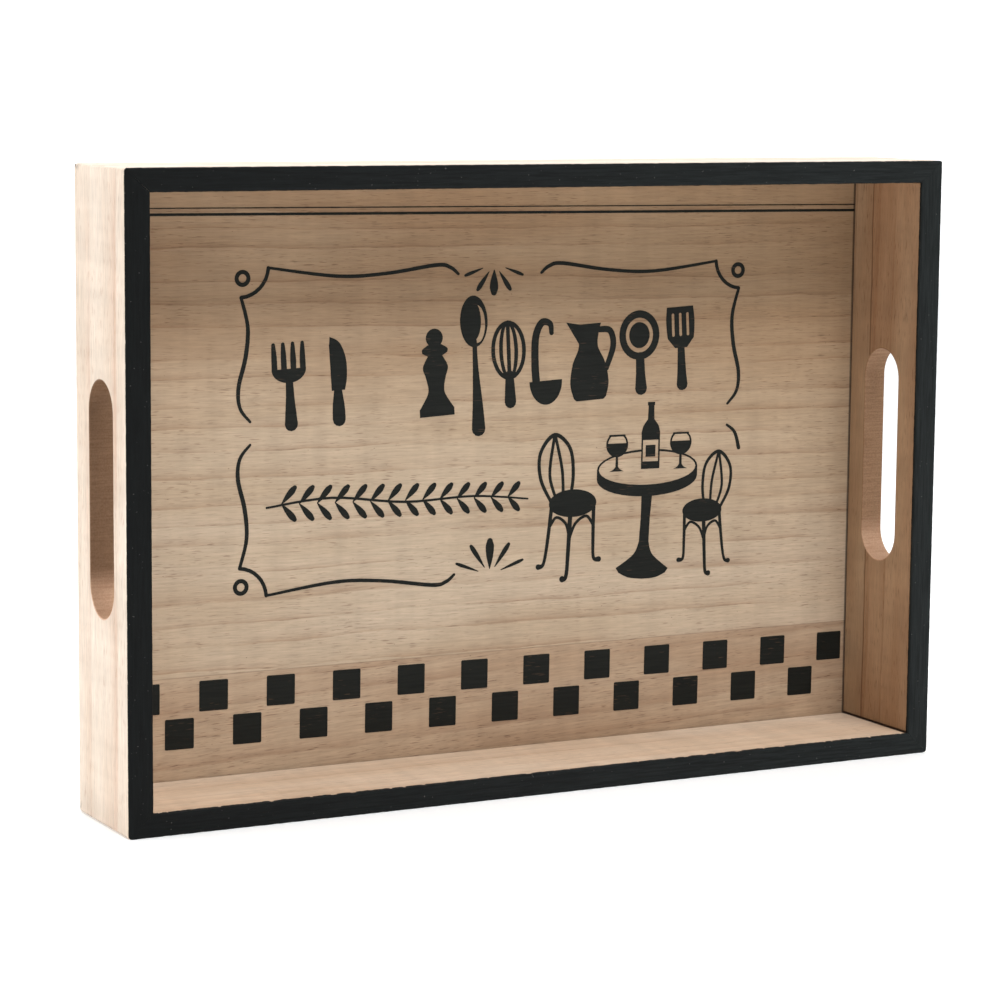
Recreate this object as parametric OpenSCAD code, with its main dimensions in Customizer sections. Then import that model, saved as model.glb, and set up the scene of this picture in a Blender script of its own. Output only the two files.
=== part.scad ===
// Wooden serving tray with two handle slots, a painted rim and a printed base.
// It stands on one long wall: the open side faces -Y, the underside faces +Y and +Z is up.
// The origin is the middle of the tray's depth and length, on the surface it stands on.

/* [Tray] */
// Length of the tray, from end wall to end wall
tray_length = 400; // [340:5:460]
// Width of the tray, which is its height when it stands on a long wall
tray_width = 277; // [260:1:320]
// Depth of the tray, from the painted rim to the underside
tray_depth = 58; // [48:1:80]
// Radius of the tray's four outer corners
corner_r = 1.5; // [0.5:0.25:3]

/* [Walls] */
// Thickness of the two end walls, which have the handle slots
end_wall_t = 11; // [9:0.5:14]
// Thickness of the two long walls
long_wall_t = 10; // [8:0.5:14]
// How far the rebate for the base panel is cut into each wall
rebate_w = 5; // [3:0.5:6]
// Thickness of the black paint on the rim
paint_t = 0.2; // [0.1:0.05:0.4]

/* [Handle slots] */
// Length of a handle slot, over its round ends
slot_length = 100; // [80:1:120]
// Width of a handle slot
slot_w = 27; // [22:1:30]

/* [Base panel] */
// Thickness of the base panel
panel_t = 3; // [2.5:0.5:5]
// Gap between the panel's edge and the rebate
panel_gap = 0.5; // [0.2:0.1:1]

/* [Brads] */
// Diameter of a brad's shank
brad_d = 1.2; // [1:0.1:1.6]
// Diameter of a brad's head
brad_head_d = 2; // [1.8:0.1:3]
// Thickness of a brad's head
brad_head_t = 0.5; // [0.3:0.1:1]
// Length of a brad that holds a corner
corner_brad_length = 20; // [15:1:25]
// Length of a brad that holds the panel
panel_brad_length = 14; // [10:1:18]
// Number of panel brads along a long wall
brads_along = 5; // [3:1:8]
// Number of panel brads along an end wall
brads_across = 3; // [2:1:5]

/* [Print] */
// Thickness of the printed ink
ink_t = 0.1; // [0.05:0.05:0.2]
// Angle that the print leans, clockwise as seen from the open side
print_lean = 0.48; // [0:0.02:1]
// Angle that the row of utensils climbs to the right
row_climb = 3.4; // [0:0.1:6]
// Side of a printed square
square_w = 13.5; // [10:0.5:14.5]
// Distance from a square's middle to the next one's in the other row
square_pitch = 15.95; // [15:0.05:17]

/* [Hidden] */

WOOD = "#D9BF9C";
PANEL_WOOD = "#C7A888";
PAINT = "#24272A";
INK = "#1F221F";
STEEL = "#A8A8A6";

half_length = tray_length / 2;
half_depth = tray_depth / 2;
rim_y = -half_depth;
wood_y = rim_y + paint_t;
panel_face_y = half_depth - panel_t;
middle_z = tray_width / 2;
inner_half_length = half_length - end_wall_t;
end_brad_inset = end_wall_t / 2;
end_brad_y = half_depth * 0.6;
panel_brad_inset = rebate_w / 2;
beyond = 1;

thin_rule_y = tray_width - 20.7;
thin_rule_w = 0.5;
thick_rule_y = tray_width - 23.4;
thick_rule_w = 1.2;
first_square_x = -171.4;
upper_row_y = 45;
lower_row_y = 29;
frame_middle = [-2, 158.9];
frame_corners = [[-1, 1], [1, 1], [-1, -1]];
notch_middle = [126.5, 72.5];
notch_r = 13.6;
ring_middle = [125, 67.2];
ring_d = 7.4;
ring_hole_d = 3.6;
row_start = [-114.3, 158.4];
table_x = 76.6;
table_top_y = 135.4;
table_edge_h = 4.4;
table_leg_drop = 11.4;
table_leg_lean = 3;
glass_xs = [-16.4, 17.6];
chair_left_foot = [34, 84.4];
chair_right_foot = [109.5, 83];
chair_right_scale = 0.86;

$fn = 48;

// --- Curves -------------------------------------------------------------------------------------

// Point at share t of the smooth curve from b to c, which comes from a and goes on to d
function curve_point(a, b, c, d, t) =
    b + t * (c - a) / 2 + t * t * (2 * a - 5 * b + 4 * c - d) / 2 + t * t * t * (3 * b - a - 3 * c + d) / 2;

// Smooth curve through the points p, with n steps between neighbours
function curve(p, n) = concat(
    [for (i = [0:len(p) - 2], k = [0:n - 1])
        curve_point(p[max(i - 1, 0)], p[i], p[i + 1], p[min(i + 2, len(p) - 1)], k / n)],
    [p[len(p) - 1]]);

// Direction of the line p at its point i
function heading(p, i) =
    let (a = p[max(i - 1, 0)], b = p[min(i + 1, len(p) - 1)]) atan2(b.y - a.y, b.x - a.x);

// Point on the rim of a round pen at q, which is [x, y, pen width]
function pen_point(q, angle) = [q.x, q.y] + q.z / 2 * [cos(angle), sin(angle)];

// Outline that a round pen leaves along the points p, each [x, y, pen width]
function pen_outline(p) = let (n = len(p) - 1) concat(
    [for (i = [0:n]) pen_point(p[i], heading(p, i) + 90)],
    [for (turn = [60:-30:-60]) pen_point(p[n], heading(p, n) + turn)],
    [for (i = [n:-1:0]) pen_point(p[i], heading(p, i) - 90)],
    [for (turn = [-120:-30:-240]) pen_point(p[0], heading(p, 0) + turn)]);

// Points of an ellipse, from angle a to angle b
function ellipse(centre, rx, ry, a = 0, b = 350, step = 10) =
    [for (angle = [a:step:b]) centre + [rx * cos(angle), ry * sin(angle)]];

// A line drawn with a pen through the points p, each [x, y, pen width]
module pen(p, n = 6) {
    polygon(pen_outline(curve(p, n)));
}

// A leaf or petal from its stalk at the origin to its tip at the given length and angle
module petal(length, width, angle) {
    rotate(angle)
        pen([[0, 0, 0.4], [length * 0.45, 0, width * 0.8], [length * 0.8, 0, width], [length, 0, width * 0.7]], 4);
}

// --- Wood ---------------------------------------------------------------------------------------

// The tray's outer block, with its round corners, from y = a to y = b
module outer_block(a, b) {
    translate([0, b, middle_z])
        rotate([90, 0, 0])
            linear_extrude(b - a)
                union() {
                    square([tray_length - 2 * corner_r, tray_width], center = true);
                    square([tray_length, tray_width - 2 * corner_r], center = true);
                    for (x = [-1, 1], z = [-1, 1])
                        translate([x * (half_length - corner_r), z * (middle_z - corner_r)])
                            circle(corner_r);
                }
}

// Mitred outline of an end wall on the side given by -1 or 1, from y = a to y = b
module end_wall_blank(side, a, b) {
    outer_x = side * (half_length + beyond * end_wall_t);
    inner_x = side * inner_half_length;
    reach = long_wall_t * (1 + beyond);
    intersection() {
        outer_block(a, b);
        translate([0, b, 0])
            rotate([90, 0, 0])
                linear_extrude(b - a)
                    polygon([[outer_x, long_wall_t - reach], [inner_x, long_wall_t],
                             [inner_x, tray_width - long_wall_t], [outer_x, tray_width - long_wall_t + reach]]);
    }
}

// Mitred outline of a long wall, lower (-1) or upper (1), from y = a to y = b
module long_wall_blank(level, a, b) {
    outer_z = middle_z + level * (middle_z + beyond * long_wall_t);
    inner_z = middle_z + level * (middle_z - long_wall_t);
    reach = end_wall_t * (1 + beyond);
    intersection() {
        outer_block(a, b);
        translate([0, b, 0])
            rotate([90, 0, 0])
                linear_extrude(b - a)
                    polygon([[-inner_half_length - reach, outer_z], [-inner_half_length, inner_z],
                             [inner_half_length, inner_z], [inner_half_length + reach, outer_z]]);
    }
}

// Space for the panel, a gap larger than it all round
module rebate() {
    translate([-inner_half_length - rebate_w, panel_face_y, long_wall_t - rebate_w])
        cube([2 * (inner_half_length + rebate_w), panel_t + beyond, tray_width - 2 * (long_wall_t - rebate_w)]);
}

// Handle slot through the end wall on one side, with round ends
module handle_slot(side) {
    straight = slot_length - slot_w;
    cut = 4 * end_wall_t;
    translate([side * half_length, 0, middle_z])
        rotate([0, 90, 0]) {
            cube([straight, slot_w, cut], center = true);
            for (end = [-1, 1])
                translate([end * straight / 2, 0, 0])
                    cylinder(h = cut, d = slot_w, center = true);
        }
}

module end_wall(side) {
    color(WOOD)
        difference() {
            end_wall_blank(side, wood_y, half_depth);
            handle_slot(side);
            rebate();
            all_corner_brads();
            all_panel_brads();
        }
}

module long_wall(level) {
    color(WOOD)
        difference() {
            long_wall_blank(level, wood_y, half_depth);
            rebate();
            all_corner_brads();
            all_panel_brads();
        }
}

module base_panel() {
    width = 2 * (inner_half_length + rebate_w - panel_gap);
    height = tray_width - 2 * (long_wall_t - rebate_w + panel_gap);
    color(PANEL_WOOD)
        difference() {
            translate([-width / 2, panel_face_y, middle_z - height / 2]) cube([width, panel_t, height]);
            all_panel_brads();
        }
}

// --- Brads --------------------------------------------------------------------------------------

// One brad with the top of its head at the origin, driven along -Z
module brad(length) {
    translate([0, 0, -brad_head_t]) cylinder(h = brad_head_t, d = brad_head_d);
    translate([0, 0, -length]) cylinder(h = length - brad_head_t, d = brad_d);
}

// Two brads through each end of each long wall, into the end wall behind the mitre
module all_corner_brads() {
    for (side = [-1, 1], y = [-end_brad_y, end_brad_y]) {
        translate([side * (half_length - end_brad_inset), y, tray_width])
            brad(corner_brad_length);
        translate([side * (half_length - end_brad_inset), y, 0])
            rotate([180, 0, 0]) brad(corner_brad_length);
    }
}

// Brads through the panel's edge into the ledge of the rebate, driven from the underside
module all_panel_brads() {
    x_edge = inner_half_length + panel_brad_inset;
    z_edge = middle_z - long_wall_t + panel_brad_inset;
    for (i = [0:brads_along - 1], level = [-1, 1])
        translate([x_edge * (2 * (i + 0.5) / brads_along - 1), half_depth, middle_z + level * z_edge])
            rotate([-90, 0, 0]) brad(panel_brad_length);
    for (i = [0:brads_across - 1], side = [-1, 1])
        translate([side * x_edge, half_depth, middle_z + z_edge * (2 * (i + 0.5) / brads_across - 1)])
            rotate([-90, 0, 0]) brad(panel_brad_length);
}

module corner_brads() {
    color(STEEL) all_corner_brads();
}

module panel_brads() {
    color(STEEL) all_panel_brads();
}

// --- Rim paint ----------------------------------------------------------------------------------

module rim_paint_end(side) {
    color(PAINT) end_wall_blank(side, rim_y, wood_y);
}

module rim_paint_long(level) {
    color(PAINT) long_wall_blank(level, rim_y, wood_y);
}

// --- Print on the base panel --------------------------------------------------------------------
// The print is drawn flat: x is to the right of the tray's middle, y is the height above the surface
// that it stands on. The whole print then leans a little and is cut off at the walls.

module printed() {
    color(INK)
        translate([0, panel_face_y, 0])
            rotate([90, 0, 0])
                linear_extrude(ink_t)
                    rotate(-print_lean)
                        children();
}

// The visible part of the panel, which bounds the lines and squares
module printed_to_the_walls() {
    color(INK)
        translate([0, panel_face_y, 0])
            rotate([90, 0, 0])
                linear_extrude(ink_t)
                    intersection() {
                        translate([-inner_half_length, long_wall_t])
                            square([2 * inner_half_length, tray_width - 2 * long_wall_t]);
                        rotate(-print_lean) children();
                    }
}

module level_line(y, thickness) {
    translate([-tray_length, y - thickness / 2]) square([2 * tray_length, thickness]);
}

module print_rules() {
    printed_to_the_walls() {
        level_line(thin_rule_y, thin_rule_w);
        level_line(thick_rule_y, thick_rule_w);
    }
}

module print_squares() {
    printed_to_the_walls()
        for (k = [-1:22])
            translate([first_square_x + k * square_pitch, k % 2 == 0 ? upper_row_y : lower_row_y])
                square(square_w, center = true);
}

// Children drawn from the middle of the scroll frame, mirrored to one of its four corners
module frame_corner(corner) {
    translate(frame_middle)
        mirror([corner.x < 0 ? 1 : 0, 0])
            mirror([0, corner.y < 0 ? 1 : 0])
                children();
}

module print_frame() {
    notch = ellipse(notch_middle, notch_r, notch_r, 184, 266, 82 / 8);
    printed() {
        for (corner = frame_corners)
            frame_corner(corner) {
                pen([[113, 71.6, 1.2], [80, 67.5, 1.6], [56, 68.4, 1.6], [32, 71.7, 1.8], [25, 70.6, 1.7],
                     [21, 67.6, 1.3]]);
                pen([for (q = notch) [q.x, q.y, 1.7]], 1);
                pen([[125.6, 58.8, 1.5], [122.4, 46, 1.8], [123.4, 33, 2], [126.6, 20, 1.9], [125.8, 11, 1.6],
                     [121, 5, 1.2]]);
            }
        frame_corner([1, -1])
            pen([[121, 5, 1.2], [125.4, 8.6, 1.6], [127.8, 16, 1.9]]);
    }
}

// A ring sits in the notch of each corner
module print_corner_rings() {
    printed()
        for (corner = frame_corners)
            frame_corner(corner)
                translate(ring_middle)
                    difference() {
                        circle(ring_d / 2);
                        circle(ring_hole_d / 2);
                    }
}

// Five petals spread out from one point, the middle one pointing up
module fan(length) {
    for (i = [-2:2])
        rotate(-i * 35)
            translate([0, 3 + abs(i) * 1.6])
                petal(length - abs(i) * 0.4, i == 0 ? 4.2 : 3 - abs(i) * 0.7, 90);
}

module print_fan_upper() {
    printed() translate([frame_middle.x - 3, 231]) rotate(180) fan(10);
}

module print_fan_lower() {
    printed() translate([frame_middle.x - 3, 90]) fan(12.5);
}

// Solid outline of a turned shape from its profile points [radius, height]
module turned(profile) {
    polygon(concat(profile, [for (i = [len(profile) - 1:-1:0]) [-profile[i].x, profile[i].y]]));
}

// The utensils stand on one line, each drawn on its own centre line with its foot at y = 0

module fork() {
    pen([[0, 3.2, 6.2], [0, 14, 4.2], [0, 23, 3.4]]);
    polygon(ellipse([0, 27.5], 8.2, 6.2, 180, 360));
    for (i = [-1.5:1.5])
        pen([[i * 4.5, 27, 2.7], [i * 4.5, 33, 2.6], [i * 4.6, 38.4, 1.7]], 3);
}

module knife() {
    pen([[0, 3.2, 6.2], [0, 9, 5.8], [0, 15.6, 4]]);
    polygon(concat([[-3, 16], [-3.4, 36]],
                   curve([[-2.9, 39.8], [1.6, 37], [4.4, 30], [4.6, 22], [3.4, 16]], 7)));
}

module mill() {
    turned(concat([[8.6, 0]], curve([[8.6, 3.4], [7.4, 5], [4, 11], [4.8, 17], [6.2, 22], [3.6, 27]], 7),
                  curve([[6.2, 28.4], [6.2, 30.2], [3.4, 32]], 5)));
    translate([0, 35]) circle(4.2);
}

module spoon() {
    pen([[0.4, -7.6, 6.8], [0.4, 4, 5], [0, 20, 2.8], [0, 32, 2.2]]);
    difference() {
        polygon(ellipse([0, 40.8], 6.9, 11.6));
        difference() {
            polygon(ellipse([1.4, 39.6], 4.2, 8.6));
            polygon(ellipse([-1, 41.2], 4.6, 9.4));
        }
    }
}

module whisk() {
    pen([[0, 3, 5.8], [0, 9, 5], [0, 15.4, 4]]);
    for (rx = [8.8, 4.8])
        difference() {
            polygon(ellipse([0, 26.4], rx, 13.4));
            polygon(ellipse([0, 26.4], rx - 1.9, 11.5));
        }
    pen([[0, 14, 1.9], [0, 39, 1.9]], 1);
}

module ladle() {
    pen([[-3.2, 6, 4], [-3.8, 18, 3.8], [-3, 31, 3.6], [0.4, 37.4, 3.4], [4.6, 36.6, 2.8], [5.2, 32.4, 2.2]], 8);
    polygon(ellipse([1.4, 11], 8.4, 11, 180, 360));
}

module jug() {
    turned(concat([[7, 0]], curve([[8.4, 1.2], [10, 8], [8.4, 17], [5, 24.4], [5.6, 30.6], [7, 35]], 7)));
    polygon([[-5, 26.4], [-11, 36.4], [-4, 35]]);
    pen([[6, 32, 2.8], [11.6, 31, 3], [13, 24, 3], [9, 14, 2.6]], 8);
}

module pan() {
    pen([[0, 3, 6.2], [0, 10, 4.8], [0, 17.6, 4.4]]);
    difference() {
        polygon(ellipse([0, 27.6], 10.6, 11.4));
        polygon(ellipse([0, 27.6], 7.2, 8));
    }
    polygon(ellipse([0, 27.6], 5.4, 6));
}

module turner() {
    pen([[0, 3, 5.8], [0, 9, 4.6], [0, 20.4, 3.6]]);
    difference() {
        polygon(concat([[-3.2, 20], [3.2, 20]], curve([[7, 24.4], [7.6, 32], [7, 39]], 6),
                       curve([[-7, 39], [-7.6, 32], [-7, 24.4]], 6)));
        for (i = [-1:1])
            pen([[i * 3.9, 26, 1.4], [i * 3.9, 35.4, 1.4]], 1);
    }
}

module on_the_row(x) {
    translate(row_start) rotate(row_climb) translate([x, 0]) children();
}

module print_utensils() {
    printed() {
        on_the_row(11) fork();
        on_the_row(34) knife();
        on_the_row(82) mill();
        on_the_row(102) spoon();
        on_the_row(119) whisk();
        on_the_row(136) ladle();
        on_the_row(160) jug();
        on_the_row(187) pan();
        on_the_row(209) turner();
    }
}

// A long sprig: one thin stem with pairs of leaves
module print_sprig() {
    printed() {
        pen([[-115, 126, 1], [-84, 129, 1.1], [-48, 125.5, 1.1], [-14, 126.5, 1], [14, 124, 0.8]]);
        for (i = [0:13], side = [-1, 1])
            translate([-108 + i * 8.6, 127.3 - i * 0.15])
                petal(9.5 - i * 0.12, 3, side * 48);
    }
}

// --- Cafe scene on the print --------------------------------------------------------------------

// Whole shape of the bottle
module bottle_outline() {
    turned(concat([[4.9, 0], [4.9, 15]], curve([[4.9, 17], [4, 20], [1.7, 23]], 6),
                  [[1.5, 29.4], [1.9, 29.4], [1.9, 31]]));
}

// Neck and shoulders are solid, the body is an outline with a plain label
module bottle() {
    difference() {
        bottle_outline();
        translate([-4.1, 3.4]) square([8.2, 10]);
    }
    translate([-2.6, 5.6]) square([5.2, 5.4]);
}

// A stemmed glass, half full
module glass() {
    turned(concat(curve([[3.8, 0], [1.8, 0.9], [0.7, 2.2]], 5), [[0.6, 7]]));
    difference() {
        polygon(ellipse([0, 12.4], 5.8, 5.8));
        intersection() {
            polygon(ellipse([0, 12.4], 4.9, 4.9));
            translate([-6, 13]) square([12, 6]);
        }
        translate([-6, 16.8]) square([12, 6]);
    }
    pen([[-3.9, 16.6, 0.9], [3.9, 16.6, 0.9]], 1);
}

module at_bottle() {
    translate([table_x + 1.4, table_top_y - 0.4]) children();
}

module at_glasses() {
    for (x = glass_xs)
        translate([table_x + x, table_top_y - 1]) children();
}

// A round table top seen a little from above, with its edge in front
module table_top() {
    rx = 26.8;
    ry = 8.8;
    line_w = 1;
    difference() {
        union() {
            for (drop = [0, table_edge_h])
                polygon(ellipse([0, -drop], rx, ry));
            translate([-rx, -table_edge_h]) square([2 * rx, table_edge_h]);
        }
        polygon(ellipse([0, 0], rx - line_w, ry - line_w));
    }
}

// A turned column on a wide foot, hanging down from the origin
module table_leg() {
    turned(concat([[2.9, 0], [2.4, -12]], curve([[2.6, -23], [5.2, -29], [14, -35.4]], 7),
                  curve([[12.4, -37.6], [7, -39.8], [0, -40.4]], 5)));
}

module print_table() {
    printed()
        difference() {
            translate([table_x, table_top_y]) {
                table_top();
                translate([0, -table_leg_drop]) rotate(-table_leg_lean) table_leg();
            }
            at_bottle() bottle_outline();
            at_glasses() glass();
        }
}

module print_bottle() {
    printed() at_bottle() bottle();
}

module print_glasses() {
    printed() at_glasses() glass();
}

// A cafe chair with a looped back, seen from its front corner. The front foot stands at the origin.
module chair() {
    pen([[-7.6, 37, 1.6], [-13.4, 48, 1.7], [-13.8, 60, 1.7], [-6.6, 68.2, 1.9], [1.4, 62, 1.7],
         [3.4, 50, 1.7], [2, 38, 1.6]], 8);
    pen([[-5, 38, 1.5], [-8.8, 50, 1.5], [-6.8, 66.8, 1.5]]);
    pen([[-1.6, 38, 1.5], [-2.4, 52, 1.5], [-6, 66.8, 1.5]]);
    polygon(ellipse([3.4, 36.4], 12.4, 6.4));
    pen([[-7.6, 35, 1.9], [-9.6, 18, 1.7], [-11.4, 9, 1.6], [-14, 7.8, 2.6]]);
    pen([[2.2, 31, 2.3], [1.4, 14, 2], [0.6, 3, 1.9], [-1.4, 1.5, 3]]);
    pen([[14.4, 35, 1.9], [14.4, 20, 1.7], [14.8, 10.8, 1.6], [17.6, 9.8, 2.6]]);
    pen([[-8.4, 26, 1.4], [-5, 30.2, 1.4], [0, 27, 1.4], [1.9, 20, 1.4]]);
    pen([[14.2, 26, 1.4], [10.6, 30.2, 1.4], [5, 27, 1.4], [1.9, 20, 1.4]]);
}

module print_chair_left() {
    printed() translate(chair_left_foot) chair();
}

module print_chair_right() {
    printed() translate(chair_right_foot) mirror([1, 0]) scale(chair_right_scale) chair();
}

end_wall(-1);  // end_wall_left
end_wall(1);  // end_wall_right
long_wall(1);  // long_wall_upper
long_wall(-1);  // long_wall_lower
base_panel();
corner_brads();
panel_brads();
rim_paint_end(-1);  // rim_paint_left
rim_paint_end(1);  // rim_paint_right
rim_paint_long(1);  // rim_paint_upper
rim_paint_long(-1);  // rim_paint_lower
print_rules();
print_squares();
print_frame();
print_corner_rings();
print_fan_upper();
print_fan_lower();
print_utensils();
print_sprig();
print_table();
print_bottle();
print_glasses();
print_chair_left();
print_chair_right();
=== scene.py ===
# %% [markdown]
# # A printed wooden serving tray
#
# The real tray is a shallow box of pale paulownia wood that stands on one long wall. Four boards meet
# in mitred corners, a thin panel is let into a rebate behind them, the rim is painted black and a
# drawing is printed on the panel. Two of the boards have a routed slot for the fingers.
#
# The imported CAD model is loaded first. It fixes every size and place, so the cells below only ask it
# where things are, and then build the same pieces again with the detail that a camera sees.

import math

import bmesh
import bpy
import numpy as np
from mathutils import Matrix, Vector, noise


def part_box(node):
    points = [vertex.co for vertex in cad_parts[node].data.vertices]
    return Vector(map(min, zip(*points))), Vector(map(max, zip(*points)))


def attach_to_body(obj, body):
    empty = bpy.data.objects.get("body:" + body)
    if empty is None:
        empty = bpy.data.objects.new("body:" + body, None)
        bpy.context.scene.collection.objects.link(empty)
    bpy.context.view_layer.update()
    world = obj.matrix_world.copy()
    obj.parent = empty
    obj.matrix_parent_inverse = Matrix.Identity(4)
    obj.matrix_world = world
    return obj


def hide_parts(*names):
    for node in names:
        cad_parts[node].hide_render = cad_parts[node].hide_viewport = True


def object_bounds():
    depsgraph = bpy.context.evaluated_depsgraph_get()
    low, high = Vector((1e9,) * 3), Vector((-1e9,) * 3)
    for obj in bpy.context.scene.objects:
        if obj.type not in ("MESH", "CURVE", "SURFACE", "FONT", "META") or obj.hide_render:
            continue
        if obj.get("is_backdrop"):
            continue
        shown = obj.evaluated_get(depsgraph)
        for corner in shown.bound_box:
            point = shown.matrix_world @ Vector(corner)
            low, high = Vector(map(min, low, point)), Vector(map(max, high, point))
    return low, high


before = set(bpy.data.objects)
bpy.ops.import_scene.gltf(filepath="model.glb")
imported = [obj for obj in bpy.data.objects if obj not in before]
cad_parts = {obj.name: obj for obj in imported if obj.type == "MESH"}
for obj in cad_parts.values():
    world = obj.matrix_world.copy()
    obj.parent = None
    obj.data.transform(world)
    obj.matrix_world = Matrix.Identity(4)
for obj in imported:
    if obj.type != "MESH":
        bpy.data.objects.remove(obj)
cad_low, cad_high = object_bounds()
MM = 0.001
print("CAD box in mm:", [round(v / MM, 2) for v in (*cad_low, *cad_high)])

# %% [markdown]
# ## Camera
#
# A product picture of a tray is taken from about a metre and a half away with a long lens, so that the
# rim's edges stay nearly parallel. The camera stands to the left and slightly above, turned to the
# right and down, with a trace of roll, as if held by hand. It is aimed with three turns: roll about its
# own axis, then pitch, then yaw about the vertical.

# %% Camera
CAMERA_PLACE = (-0.67511, -1.25814, 0.32317)
CAMERA_YAW = math.radians(27.762)
CAMERA_PITCH = math.radians(7.813)
CAMERA_ROLL = math.radians(0.513)
LENS_MM = 116.72
SENSOR_MM = 36.0

scene = bpy.context.scene


def linked_object(name, data):
    """An object for the data, linked to the scene."""
    thing = bpy.data.objects.new(name, data)
    scene.collection.objects.link(thing)
    return thing


camera_data = bpy.data.cameras.new("camera")
camera_data.lens = LENS_MM
camera_data.sensor_width = SENSOR_MM
camera = linked_object("camera", camera_data)
camera.matrix_world = (
    Matrix.Translation(CAMERA_PLACE)
    @ Matrix.Rotation(-CAMERA_YAW, 4, "Z")
    @ Matrix.Rotation(math.pi / 2 - CAMERA_PITCH, 4, "X")
    @ Matrix.Rotation(CAMERA_ROLL, 4, "Z")
)
scene.camera = camera
scene.view_settings.view_transform = "Standard"
print("camera is", round((camera.location - Vector((0, 0, cad_high.z / 2))).length, 2), "m from the tray")

# %% [markdown]
# ## Helpers for node trees
#
# Materials and Geometry Nodes are both trees of nodes, so the same helpers build either kind. A node's
# output is wrapped in a Wire. A plus sign between two wires adds a Math node, and a helper that gets a
# wire finds the tree to work in by itself, so that the sums in the later cells read like sums.


# %% Node helpers
class Wire:
    """A node's output; Python's signs between wires and values add Math or Vector Math nodes."""

    def __init__(self, socket):
        self.socket = socket

    def __add__(self, other):
        return calc("ADD", self, other)

    def __sub__(self, other):
        return calc("SUBTRACT", self, other)

    def __rsub__(self, other):
        return calc("SUBTRACT", other, self)

    def __mul__(self, other):
        return calc("MULTIPLY", self, other)

    def __truediv__(self, other):
        return calc("DIVIDE", self, other)

    def __abs__(self):
        return calc("ABSOLUTE", self)


def fill(node, inputs):
    """Fills inputs by name or number: a wire is linked, and anything else is the input's own value."""
    for key, value in inputs.items():
        if isinstance(value, Wire):
            node.id_data.links.new(value.socket, node.inputs[key])
        else:
            node.inputs[key].default_value = value


def add(tree, kind, inputs=None, **settings):
    """Adds a node to a tree and fills its inputs."""
    node = tree.nodes.new(kind)
    for name, value in settings.items():
        setattr(node, name, value)
    fill(node, inputs or {})
    return node


def put(kind, inputs, output=0, **settings):
    """Adds a node to the tree that a wired input comes from, and returns the wire of one output."""
    tree = next(value.socket.id_data for value in inputs.values() if isinstance(value, Wire))
    return Wire(add(tree, kind, inputs, **settings).outputs[output])


def wires(node):
    """The wires of all of a node's outputs, by name."""
    return {socket.name: Wire(socket) for socket in node.outputs}


def calc(operation, *values, clamp=False):
    """Wire of a Math node, or of a Vector Math node where the first value is a vector's wire."""
    inputs = dict(enumerate(values))
    if isinstance(values[0], Wire) and values[0].socket.type == "VECTOR":
        output = "Value" if operation == "LENGTH" else "Vector"
        return put("ShaderNodeVectorMath", inputs, output, operation=operation)
    return put("ShaderNodeMath", inputs, operation=operation, use_clamp=clamp)


def scaled(vector, factor):
    return put("ShaderNodeVectorMath", {0: vector, "Scale": factor}, operation="SCALE")


def split(vector):
    """The X, Y and Z wires of a vector."""
    return wires(add(vector.socket.id_data, "ShaderNodeSeparateXYZ", {0: vector}))


def join(**parts):
    """A vector from its X, Y and Z; a part that isn't given is 0."""
    return put("ShaderNodeCombineXYZ", parts)


def remap(value, low, high, to_low=0.0, to_high=1.0, smooth=True):
    """Value carried from the span low..high to to_low..to_high, and held there outside it."""
    inputs = dict(enumerate((value, low, high, to_low, to_high)))
    return put("ShaderNodeMapRange", inputs, interpolation_type="SMOOTHSTEP" if smooth else "LINEAR")


def colour(value):
    """A colour input's value from a paint chart's numbers, 0 to 255; a wire or four numbers are kept."""
    if isinstance(value, Wire) or len(value) == 4:
        return value
    return tuple(((c / 255 + 0.055) / 1.055) ** 2.4 for c in value) + (1.0,)


def blend(share, first, second, how="MIX"):
    """Two colours mixed, with share of the second; 6 and 7 are the colour inputs of a Mix node."""
    inputs = {0: share, 6: colour(first), 7: colour(second)}
    return put("ShaderNodeMix", inputs, 2, data_type="RGBA", blend_type=how)


# %% [markdown]
# ## Floor and light
#
# The tray stands on a plain white shooting table, which glows a little from below so that only a faint,
# cool contact shadow is left, in front of a lit white backdrop. The room itself is dim, though its far
# walls look pale where the camera sees them directly. A large window on the left, a little behind the
# tray, floods the outer face of the left end wall but leaves the inside of the right one in shade. The
# key light is a narrow softbox high in front: it clears the upper wall only below a third of the panel,
# and its small height keeps the edge of that shade fairly crisp. A strip light almost straight above
# reaches past the upper wall to what faces up, and one behind the tray whitens its top without reaching
# the inside.

# %% Floor and light
FLOOR_SIZE = 12.0
BACKDROP_Y = 2.6
BACKDROP_H = 6.0
ROOM_STRENGTH = 0.28
SEEN_ROOM = 0.8
TABLE_GLOW = 0.16
BACKDROP_GLOW = 0.6


def area_light(name, place, aim, size, power, tint):
    """A rectangular softbox at place, pointing at aim."""
    data = bpy.data.lights.new(name, "AREA")
    data.shape = "RECTANGLE"
    data.size, data.size_y = size
    data.energy = power
    data.color = tint
    lamp = linked_object(name, data)
    lamp.location = place
    lamp.rotation_euler = (Vector(aim) - Vector(place)).to_track_quat("-Z", "Y").to_euler()


middle = (cad_low + cad_high) / 2
area_light("window", (-2.6, 1.0, 0.9), middle, (1.6, 1.6), 36, (1.0, 0.99, 0.98))
area_light("key", (0.25, -1.45, 1.9), middle, (1.1, 0.5), 28, (1.0, 0.99, 0.98))
area_light("top", (0.2, -0.42, 2.25), middle, (1.2, 0.35), 16, (1.0, 1.0, 1.0))
area_light("rear", (-0.3, 1.1, 2.3), middle, (1.6, 0.6), 14, (1.0, 1.0, 1.0))

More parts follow.
